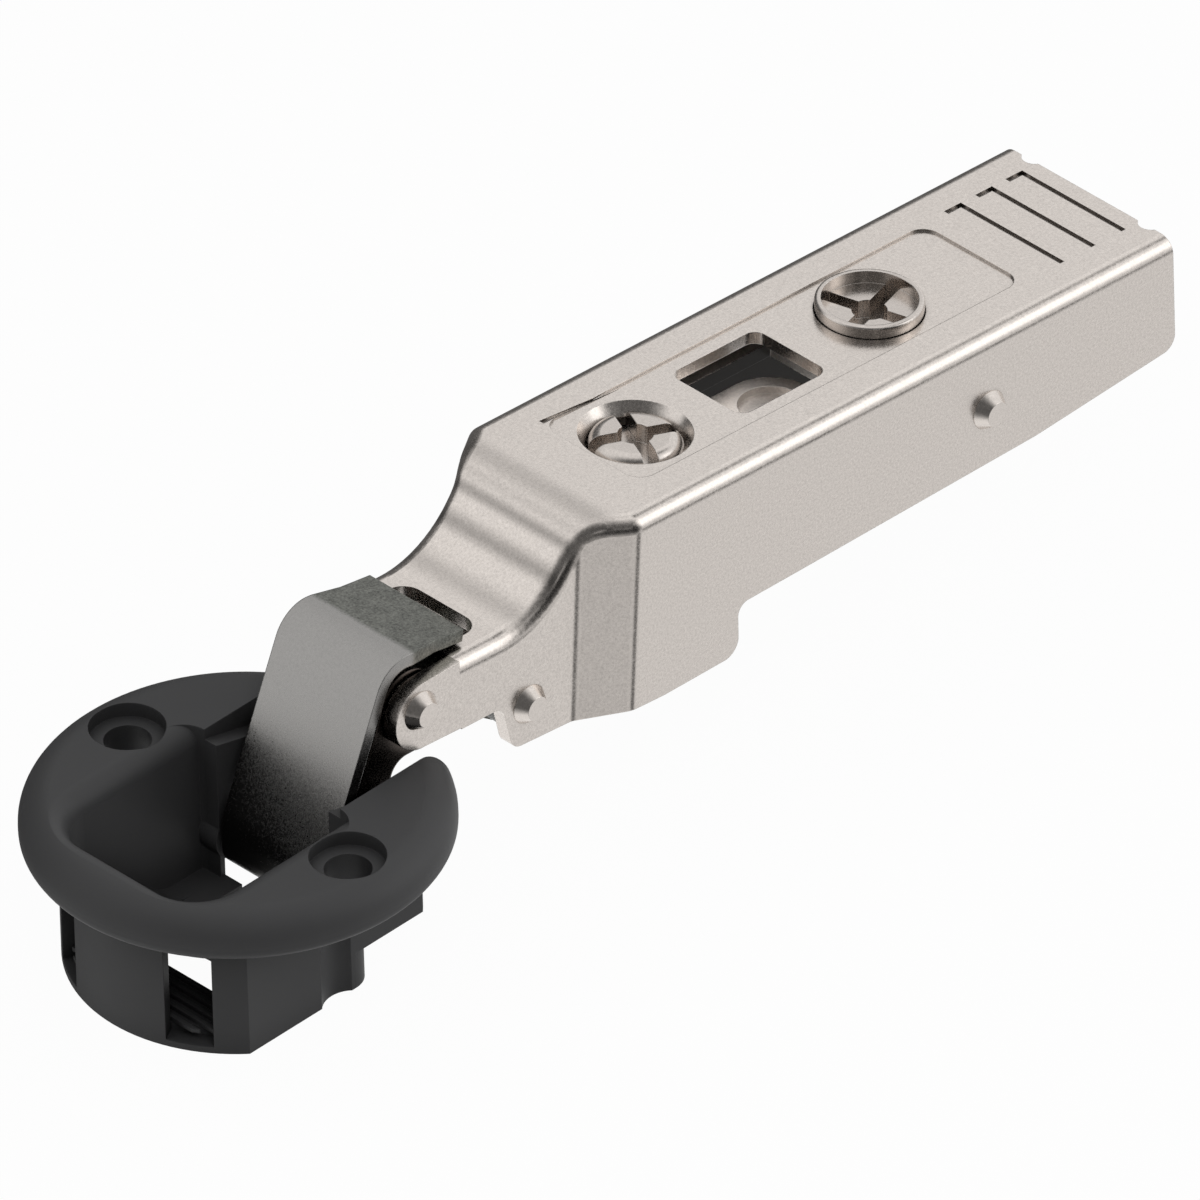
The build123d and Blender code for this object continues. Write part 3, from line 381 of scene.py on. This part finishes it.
# Inner link: its dark colour is painted shade and painted dark reflection over plated metal
dark_steel = metal(
    "dark_steel",
    SHADED_LINK_STEEL,
    speckle=0.8,
    grain=0.12,
    roughness=0.26,
    edge=0.22 * MM,
    hollow_shade=(1.5 * MM, 0.15, 0.10, 0.60),
)
spring_steel = metal(
    "spring_steel",
    SPRING_STEEL,
    speckle=0.4,
    grain=0.08,
    roughness=0.30,
    edge=0.05 * MM,
    hollow_shade=(1.5 * MM, 0.15, 0.10, 0.60),
)
cup_plastic = plastic(
    "cup_plastic", CUP_PLASTIC, roughness=0.52, edge=0.10 * MM, reach=5.0 * MM
)
sleeve_plastic = plastic(
    "sleeve_plastic", SLEEVE_PLASTIC, roughness=0.40, edge=0.05 * MM, reach=1.5 * MM
)

dress(cup_plastic, "cup")
dress(arm_nickel, "hinge_arm")
dress(link_steel, "outer_link")
dress(dark_steel, "inner_link")
dress(pin_nickel, "arm_pin_front", "arm_pin_rear", "guide_pin", "cup_pin_outer", "cup_pin_inner")
dress(screw_nickel, "side_screw", "depth_cam", "cam_washer")
dress(carriage_steel, "carriage", "hook_bar", "lever_pin", "clip_lever")
dress(spring_steel, "closing_spring", "lever_spring")
dress(sleeve_plastic, "spring_sleeve", "pin_spacers")

# Camera, far away with a long lens, turned with the arm's tip
slant = math.sqrt(1 / 2)
right = Vector((slant * math.cos(ARM_TIP), -slant, -slant * math.sin(ARM_TIP)))
rise = math.sqrt(1 / 6)
lift = math.sqrt(2 / 3)
up = Vector(
    (
        rise * math.cos(ARM_TIP) + lift * math.sin(ARM_TIP),
        rise,
        lift * math.cos(ARM_TIP) - rise * math.sin(ARM_TIP),
    )
)
back = right.cross(up)
frame_width = PHOTO_PX / PX_PER_MM * MM
distance = frame_width * LENS_MM / SENSOR_MM
centre_right = (PHOTO_PX / 2 - ORIGIN_PX[0]) / PX_PER_MM * MM
centre_up = (ORIGIN_PX[1] - PHOTO_PX / 2) / PX_PER_MM * MM
camera_data = bpy.data.cameras.new("camera")
camera_data.lens = LENS_MM
camera_data.sensor_width = SENSOR_MM
camera_data.clip_end = 2 * distance
camera = bpy.data.objects.new("camera", camera_data)
turn = Matrix((right, up, back)).transposed().to_4x4()
stand = right * centre_right + up * centre_up + back * distance
camera.matrix_world = Matrix.Translation(stand) @ turn
bpy.context.scene.collection.objects.link(camera)
bpy.context.scene.camera = camera

# Floor just under the cup: white to the camera with a faint shadow, and clear to reflections
for piece in bpy.context.selected_objects:
    piece.select_set(False)
bpy.ops.mesh.primitive_plane_add(size=FLOOR_SIZE, location=(0, 0, 0))
floor = bpy.context.object
floor.name = "floor"
floor.data.transform(Matrix.Translation((0, 0, cad_box[0][2] - FLOOR_GAP)))
floor_material, floor_tree, floor_shader = new_surface("floor_white")
floor_shader.inputs["Base Color"].default_value = (*FLOOR_TONE, 1)
floor_shader.inputs["Roughness"].default_value = 0.9
path = floor_tree.nodes.new("ShaderNodeLightPath")
is_camera = Link(floor_tree, path.outputs["Is Camera Ray"])
is_glossy = Link(floor_tree, path.outputs["Is Glossy Ray"])
white = add_node(floor_tree, "ShaderNodeEmission", values={"Color": (1, 1, 1, 1), "Strength": 1.0})
clear = add_node(floor_tree, "ShaderNodeBsdfTransparent")
lit_floor = add_node(
    floor_tree,
    "ShaderNodeMixShader",
    values=(is_camera * FLOOR_WHITE, Link(floor_tree, floor_shader.outputs[0]), white),
)
mixed = add_node(floor_tree, "ShaderNodeMixShader", values=(is_glossy, lit_floor, clear))
floor_tree.links.new(mixed.socket, floor_tree.nodes["Material Output"].inputs["Surface"])
floor.data.materials.append(floor_material)

# World: white to the camera, and to the object a pale studio with dimmer and brighter places
world = bpy.data.worlds.new("studio")
bpy.context.scene.world = world
world.use_nodes = True
sky = world.node_tree
for old in list(sky.nodes):
    sky.nodes.remove(old)
direction = add_node(sky, "ShaderNodeTexCoord", output="Generated")
level = add_node(sky, "ShaderNodeValue")
level.socket.default_value = STUDIO_LEVEL
for centre, narrow, wide, amount in STUDIO_PLACES:
    closeness = add_node(
        sky,
        "ShaderNodeVectorMath",
        {"operation": "DOT_PRODUCT"},
        (direction, Vector(centre).normalized()),
        output="Value",
    )
    lobe = add_node(
        sky,
        "ShaderNodeMapRange",
        {"interpolation_type": "SMOOTHSTEP"},
        {
            "Value": closeness,
            "From Min": math.cos(math.radians(wide)),
            "From Max": math.cos(math.radians(narrow)),
        },
    )
    level = level * (1 - lobe * amount)
world_path = sky.nodes.new("ShaderNodeLightPath")
sees_camera = Link(sky, world_path.outputs["Is Camera Ray"])
studio = add_node(sky, "ShaderNodeBackground", values={"Color": (1, 1, 1, 1), "Strength": level})
backdrop = add_node(sky, "ShaderNodeBackground", values={"Color": (1, 1, 1, 1), "Strength": 1.0})
seen = add_node(sky, "ShaderNodeMixShader", values=(sees_camera, studio, backdrop))
output = sky.nodes.new("ShaderNodeOutputWorld")
sky.links.new(seen.socket, output.inputs["Surface"])


def softbox(name, place, aim, size, power):
    """Square area lamp that faces a point and isn't seen in reflections."""
    data = bpy.data.lights.new(name, "AREA")
    data.size = size
    data.energy = power
    lamp = bpy.data.objects.new(name, data)
    lamp.visible_glossy = False
    face = (Vector(place) - Vector(aim)).to_track_quat("Z", "Y").to_matrix().to_4x4()
    lamp.matrix_world = Matrix.Translation(place) @ face
    bpy.context.scene.collection.objects.link(lamp)


softbox("key", (-0.25, -0.35, 0.55), LAMP_AIM, size=0.40, power=2.2)
softbox("side", (0.45, -0.45, 0.12), LAMP_AIM, size=0.30, power=1.2)

bpy.context.scene.view_settings.view_transform = "Standard"
